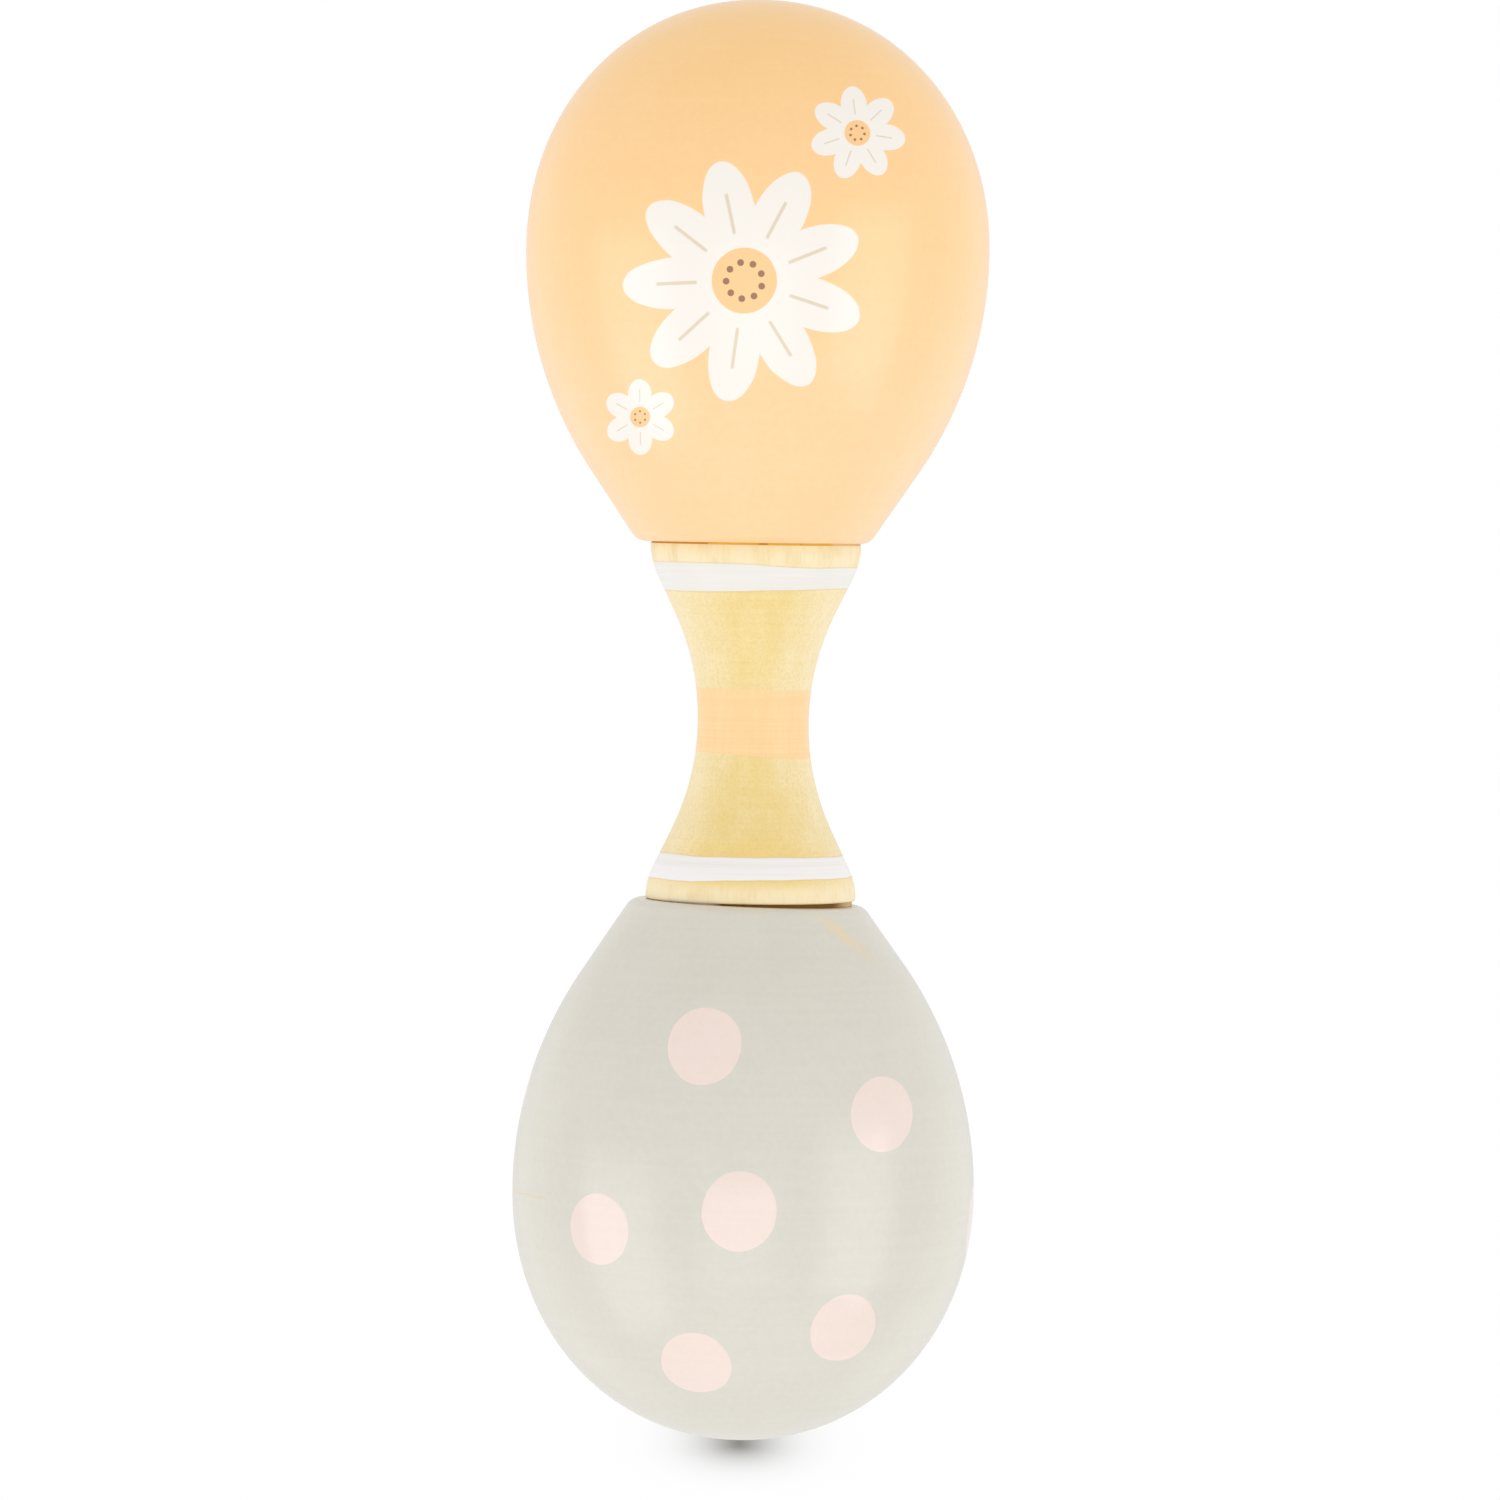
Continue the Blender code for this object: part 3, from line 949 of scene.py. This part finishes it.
def bare_wood(nodes, where, x, y, z, radius):
    """Colour of the bare wood, with a painted sheen towards its sides, and the flecks and fibres in it.
    """
    flecks = wood_marks(nodes, where, FLECKS, MARK_ROUGHNESS)
    fibres = wood_marks(nodes, where, FIBRES, MARK_ROUGHNESS)
    clouds = wood_marks(nodes, where, CLOUDS)
    across, along = LATHE_RINGS
    rings = nodes.noise(nodes.vector(x * across, y * across, z * along), 1.0, detail=2.0)
    # How far the painted sheen shows
    aside = painted_side_sheen(nodes, x, z, radius)
    pale = nodes.mix(aside, PALE_WOOD, PALE_WOOD_SHEEN)
    deep = nodes.mix(aside, DEEP_WOOD, DEEP_WOOD_SHEEN)
    tone = nodes.blend(CLOUDS_TO_RINGS, clouds, rings) + z * PALER_UPWARDS
    wood = nodes.mix(nodes.ease(tone, *TONE_CONTRAST), deep, pale)
    wood = nodes.mix(nodes.ease(z, *GOLDEN_PART) * (1.0 - aside) * GOLDEN_SHARE, wood, GOLDEN_WOOD)
    pores = nodes.ease(nodes.blend(FLECKS_TO_FIBRES, flecks, fibres), *PORE_CONTRAST)
    wood = nodes.mix(pores * PORE_SHARE, wood, PORE_TAN)
    at_ends = nodes.ease(z, *UPPER_END) + nodes.ease(z, *LOWER_END)
    wood = nodes.mix(at_ends * END_SHARE, wood, END_WOOD)
    wood = nodes.mix(nodes.ease(z, *DEEP_TOP) * DEEP_TOP_SHARE, wood, END_DEEP)
    dark_fibres = nodes.ease(nodes.blend(FIBRES_TO_CLOUDS, fibres, clouds), *FIBRE_CONTRAST)
    wood = nodes.mix(dark_fibres * nodes.span(at_ends, *FIBRE_SHARE), wood, FIBRE_TAN)
    return wood, flecks, fibres


def stripe_masks(nodes, where, x, z):
    """Masks of the white stripes, of the same grown by a thin rim, and of the band."""
    level = z + nodes.stray(where, STRIPE_FINENESS, STRIPE_STRAY, detail=3.0)
    dip = nodes.ease(x, *UPPER_DIP) * -UPPER_DIP_DEPTH

    def stripe(edges, low_shift, high_shift=0.0, grown=0.0):
        low = edges[0] - grown
        high = edges[1] + grown
        above = nodes.ease(level - low_shift, low - STRIPE_SOFT, low + STRIPE_SOFT)
        return above * nodes.ease(level - high_shift, high + STRIPE_SOFT, high - STRIPE_SOFT)

    def white_stripes(grown=0.0):
        upper = stripe(UPPER_WHITE, x * UPPER_SLOPE, dip, grown)
        lower = stripe(LOWER_WHITE, x * LOWER_SLOPE, grown=grown)
        return nodes.math("MAXIMUM", upper, lower)

    return white_stripes(), white_stripes(RIM_WIDTH), stripe(MIDDLE_BAND, x * BAND_SLOPE)


def paint_run(nodes, x, y, z):
    """Mask of the paint that has run over the handle's lower edge."""
    near_edge = nodes.ease(z, RUN_TOP - SHOULDER, RUN_FULL - SHOULDER)
    on_front = nodes.ease(y, 0.0, RUN_FRONT)
    return near_edge * on_front * nodes.between(x, *RUN_ACROSS, RUN_SOFT)


def glue_in_joints(nodes, colour, where, x, z, radius):
    """Lays the glue in the joints over the colour, with a painted shade where the lower joint gapes, and
    gives back the new colour and the glue's mask.
    """
    stain = nodes.noise(where, STAIN_FINENESS) + nodes.ease(x, *TOP_STAIN) * TOP_STAIN_MORE
    top_glue = nodes.mix(nodes.ease(stain, *STAIN_CONTRAST), GLUE_PALE, GLUE_AMBER)
    top_glue = nodes.mix(nodes.ease(x, *TOP_FADE) * TOP_FADE_SHARE, top_glue, GLUE_TAN)
    in_top_joint = nodes.ease(z, TOP_SHOULDER - GLUE_EDGE, TOP_SHOULDER + GLUE_EDGE)
    colour = nodes.mix(in_top_joint, colour, top_glue)
    # Dark brown where the lower joint gapes: a painted shade of the gap over the glue
    low_glue = nodes.mix(nodes.ease(x, *LOW_GAP_SHADE), GLUE_TAN, GLUE_BROWN_GAP_SHADE)
    low_glue = nodes.mix(nodes.ease(x, *LOW_FADE) * LOW_FADE_SHARE, low_glue, GLUE_TAN)
    inside = nodes.math("LESS_THAN", radius, END_RADIUS - LOW_EDGE_ROUND - LOW_GLUE_INSET)
    in_low_joint = inside * nodes.math("LESS_THAN", z, LOW_GLUE_HEIGHT - SHOULDER)
    colour = nodes.mix(in_low_joint, colour, low_glue)
    return colour, in_top_joint + in_low_joint


def handle_finish(groups):
    finish, nodes, shader = new_material("striped_wood")
    where = nodes.where()
    x, y, z = nodes.split(where)
    x = x - HANDLE_ASIDE
    radius = nodes.math("SQRT", x * x + y * y)
    wood, flecks, fibres = bare_wood(nodes, where, x, y, z, radius)
    white, rimmed, band = stripe_masks(nodes, where, x, z)
    paint = nodes.math("MAXIMUM", white, band)
    lines = nodes.use(groups["brush_lines"], Fineness=2600.0)
    thicker = nodes.ease(z, *THICK_PAINT) * THICKER
    thinner = nodes.ease(z, *THIN_PAINT) * THINNER
    stroke = nodes.ease(lines + thicker - thinner, *STROKE_CONTRAST)
    worn = nodes.ease(fibres, *WORN_CONTRAST) * WORN
    colour = nodes.mix(rimmed * RIM_SHARE, wood, RIM_TAN)
    colour = nodes.mix(white, colour, nodes.mix(stroke, STRIPE_GROOVE, STRIPE_WHITE))
    colour = nodes.mix(band, colour, nodes.mix(stroke - worn, BAND_PEACH_DEEP, BAND_PEACH))
    colour = nodes.mix(paint_run(nodes, x, y, z) * RUN_SHARE, colour, PAINT_RUN)
    colour, glue = glue_in_joints(nodes, colour, where, x, z, radius)
    nodes.feed(shader["Base Color"], colour)
    roughness = nodes.span(flecks, *HANDLE_ROUGHNESS) - paint * PAINT_SMOOTHER + glue * GLUE_ROUGHER
    nodes.feed(shader["Roughness"], roughness)
    relief = flecks * nodes.span(paint, *FLECK_HEIGHT) + paint * nodes.span(lines, *STROKE_HEIGHT)
    nodes.feed(shader["Normal"], nodes.bump(relief, HANDLE_RELIEF))
    return finish


# Beads

BEAD_WOOD = srgb(226, 194, 140)
BEAD_GRAIN = srgb(206, 168, 110)
BEAD_MARKS = (700.0, 120.0)  # to the metre, across the grain and along it
BEAD_CONTRAST = (0.3, 0.7)
BEAD_ROUGHNESS = (0.5, 0.7)
BEAD_RELIEF = 0.03 * MM


def bead_finish():
    finish, nodes, shader = new_material("bead_wood")
    across, along = BEAD_MARKS
    grain = nodes.noise(nodes.stretch(nodes.where(), across, across, along), 1.0, detail=4.0)
    nodes.feed(shader["Base Color"], nodes.mix(nodes.ease(grain, *BEAD_CONTRAST), BEAD_WOOD, BEAD_GRAIN))
    nodes.feed(shader["Roughness"], nodes.span(grain, *BEAD_ROUGHNESS))
    nodes.feed(shader["Normal"], nodes.bump(grain, BEAD_RELIEF))
    return finish


# Studio

WHITE = (1.0, 1.0, 1.0, 1.0)
# Panels of the tent, as seen from the maraca: degrees round from the front, negative on the left,
# then degrees up from level, degrees over which the light fades at the edges, and how bright
PANELS = [
    dict(name="cloth", turned=(-270, 270), raised=(-180, 180), edge=10, level=0.89),
    dict(name="left_box", turned=(-86, -46), raised=(-49, 6), edge=4, level=0.82),
    dict(name="right_box", turned=(41, 79), raised=(-36, 13), edge=3, level=0.88),
    dict(name="front_box", turned=(-20, 18), raised=(-37, 1), edge=2, level=0.5),
    dict(name="table", turned=(-80, 80), raised=(-180, -50), edge=20, level=0.17),
    dict(name="back_left", turned=(-150, -110), raised=(-50, 15), edge=10, level=0.19),
    dict(name="back_right", turned=(110, 150), raised=(-50, 15), edge=10, level=0.22),
]


def add_world():
    """A light tent that is plain white to the camera."""
    world = bpy.data.worlds.new("light_tent")
    bpy.context.scene.world = world
    world.use_nodes = True
    nodes = Nodes(world.node_tree)
    x, y, z = nodes.split(nodes.add("ShaderNodeTexCoord").outputs["Generated"])
    turned = nodes.math("DEGREES", nodes.math("ARCTAN2", x, y * -1.0))
    raised = nodes.math("DEGREES", nodes.math("ARCSINE", z))
    light = 0.0
    for panel in PANELS:
        across = nodes.between(turned, *panel["turned"], panel["edge"])
        up = nodes.between(raised, *panel["raised"], panel["edge"])
        light = across * up * panel["level"] + light
    lit = world.node_tree.nodes["Background"]
    nodes.feed(lit.inputs["Color"], WHITE)
    nodes.feed(lit.inputs["Strength"], light)
    seen = nodes.add("ShaderNodeBackground")
    nodes.feed(seen.inputs["Color"], WHITE)
    mixed = nodes.add("ShaderNodeMixShader")
    nodes.feed(mixed.inputs[0], nodes.add("ShaderNodeLightPath").outputs["Is Camera Ray"])
    nodes.feed(mixed.inputs[1], lit.outputs[0])
    nodes.feed(mixed.inputs[2], seen.outputs[0])
    nodes.feed(world.node_tree.nodes["World Output"].inputs[0], mixed.outputs[0])


# Shape of the painted shadow: inside it the table is grey, and the real shade under the maraca deepens
# it
SHADOW_WIDTH = 4.6 * MM
SHADOW_LENGTH = 15.0 * MM
SHADOW_CORE = 6.5 * MM  # half of the length over which the shadow keeps its full depth
SHADOW_FALL = 1.4  # how steeply the shadow fades further out
PAINTED_SHADOW_GREY = srgb(168, 168, 168)
TABLE_RADIUS = 4.0
TABLE_SIDES = 64


def floor_finish():
    """A white table, clear from below. Close to where the maraca touches it the table turns grey, a
    painted shadow that the real shade deepens.
    """
    finish = bpy.data.materials.new("white_table")
    finish.use_nodes = True
    finish.node_tree.nodes.clear()
    nodes = Nodes(finish.node_tree)
    x, y, _ = nodes.split(nodes.where())
    across = x / SHADOW_WIDTH
    out = nodes.math("MAXIMUM", abs(y) - SHADOW_CORE, 0.0) / SHADOW_LENGTH
    reach = nodes.math("SQRT", across * across + out * out)
    clear = 1.0 - nodes.math("EXPONENT", nodes.math("POWER", reach, SHADOW_FALL) * -1.0)
    glow = nodes.add("ShaderNodeEmission")
    nodes.feed(glow.inputs["Color"], WHITE)
    # The painted shadow: a grey table near the maraca, lit by the tent
    cloth = nodes.add("ShaderNodeBsdfDiffuse")
    nodes.feed(cloth.inputs["Color"], PAINTED_SHADOW_GREY)
    mixed = nodes.add("ShaderNodeMixShader")
    nodes.feed(mixed.inputs[0], clear)
    nodes.feed(mixed.inputs[1], cloth.outputs[0])
    nodes.feed(mixed.inputs[2], glow.outputs[0])
    from_above = nodes.add("ShaderNodeMixShader")
    nodes.feed(from_above.inputs[0], nodes.add("ShaderNodeNewGeometry").outputs["Backfacing"])
    nodes.feed(from_above.inputs[1], mixed.outputs[0])
    nodes.feed(from_above.inputs[2], nodes.add("ShaderNodeBsdfTransparent").outputs[0])
    nodes.feed(nodes.add("ShaderNodeOutputMaterial").inputs[0], from_above.outputs[0])
    return finish


def add_floor():
    """The table under the maraca, which lets the tent's light through from below."""
    shape = bmesh.new()
    bmesh.ops.create_circle(shape, cap_ends=True, segments=TABLE_SIDES, radius=TABLE_RADIUS)
    bmesh.ops.translate(shape, verts=shape.verts, vec=(0, 0, cad_box[0][2]))
    mesh = bpy.data.meshes.new("floor")
    shape.to_mesh(mesh)
    shape.free()
    mesh.materials.append(floor_finish())
    floor = bpy.data.objects.new("floor", mesh)
    bpy.context.scene.collection.objects.link(floor)
    for rays in ("diffuse", "glossy", "transmission", "shadow"):
        setattr(floor, f"visible_{rays}", False)


CAMERA_DISTANCE = 0.9
CAMERA_HEIGHT = 27.0 * MM
VIEW_WIDTH = 178.4 * MM
AIM = Vector((0.0, 0.0, -3.4 * MM))
CAMERA_ROLL = math.radians(0.9)
SENSOR_WIDTH = 36.0
NEAREST_SEEN = 0.05


def add_camera():
    data = bpy.data.cameras.new("camera")
    data.sensor_width = SENSOR_WIDTH
    data.lens = SENSOR_WIDTH * CAMERA_DISTANCE / VIEW_WIDTH
    data.clip_start = NEAREST_SEEN
    camera = bpy.data.objects.new("camera", data)
    camera.location = (0.0, -CAMERA_DISTANCE, CAMERA_HEIGHT)
    look = (AIM - camera.location).to_track_quat("-Z", "Y")
    camera.rotation_euler = (look @ Quaternion((0, 0, 1), CAMERA_ROLL)).to_euler()
    bpy.context.scene.collection.objects.link(camera)
    bpy.context.scene.camera = camera


def build():
    groups = {
        "brush_lines": brush_lines_group(),
        "mottle": mottle_group(),
        "specks": specks_group(),
        "dot": dot_group(),
        "petals": petals_group(),
    }
    add_head("peach", peach_paint(groups), lower=False)
    add_head("grey", grey_paint(groups), lower=True)
    add_handle(handle_finish(groups))
    add_beads(bead_finish())
    add_world()
    add_floor()
    add_camera()
    bpy.context.scene.view_settings.view_transform = "Standard"


build()
